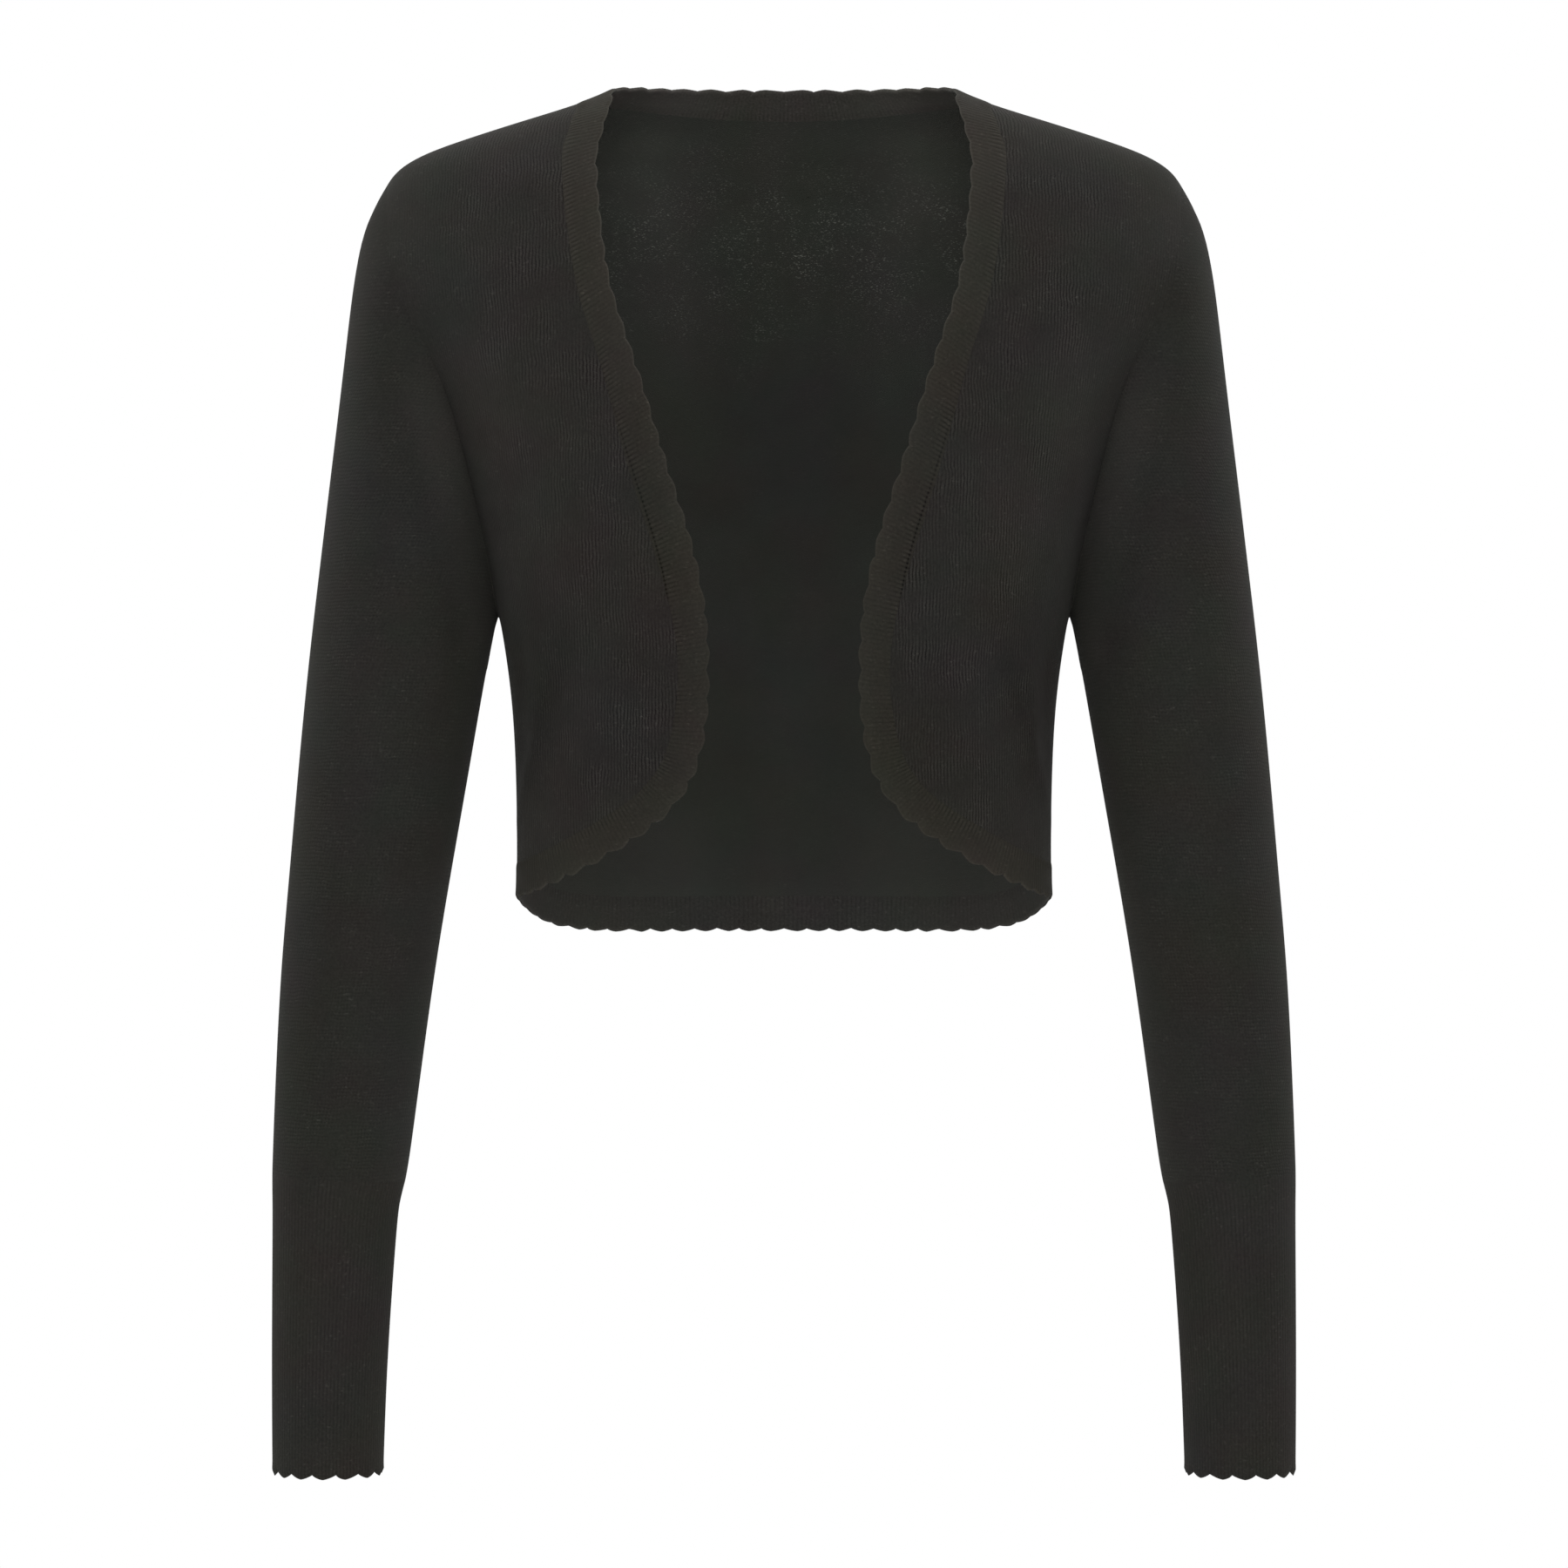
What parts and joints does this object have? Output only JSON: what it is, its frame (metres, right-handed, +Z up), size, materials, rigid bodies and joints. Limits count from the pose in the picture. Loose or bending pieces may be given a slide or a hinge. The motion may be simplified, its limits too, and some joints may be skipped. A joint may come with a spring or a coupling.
{
  "type": "knitted cardigan",
  "caption": "Short open-front cardigan in fine dark knit, in its worn shape, with long sleeves, deep ribbed cuffs and a ribbed scalloped band round the opening.",
  "frame": {"origin": "middle of the neck opening, on the line that joins the tops of the shoulder seams at the neck", "axes": "+X towards the wearer's left, the front faces -Y, +Z up"},
  "size_m": [0.4796, 0.1917, 0.6552],
  "materials": {
    "knit": "matt fine plain knit with a soft nap",
    "rib_knit": "matt fine rib knit with a soft nap"
  },
  "bodies": {
    "root": {"back": "knit", "front_left": "knit", "front_right": "knit", "sleeve_left": "knit", "sleeve_right": "knit", "band_neck": "rib_knit", "band_front_left": "rib_knit", "band_front_right": "rib_knit", "band_hem": "rib_knit", "cuff_left": "rib_knit", "cuff_right": "rib_knit"}
  },
  "joints": []
}
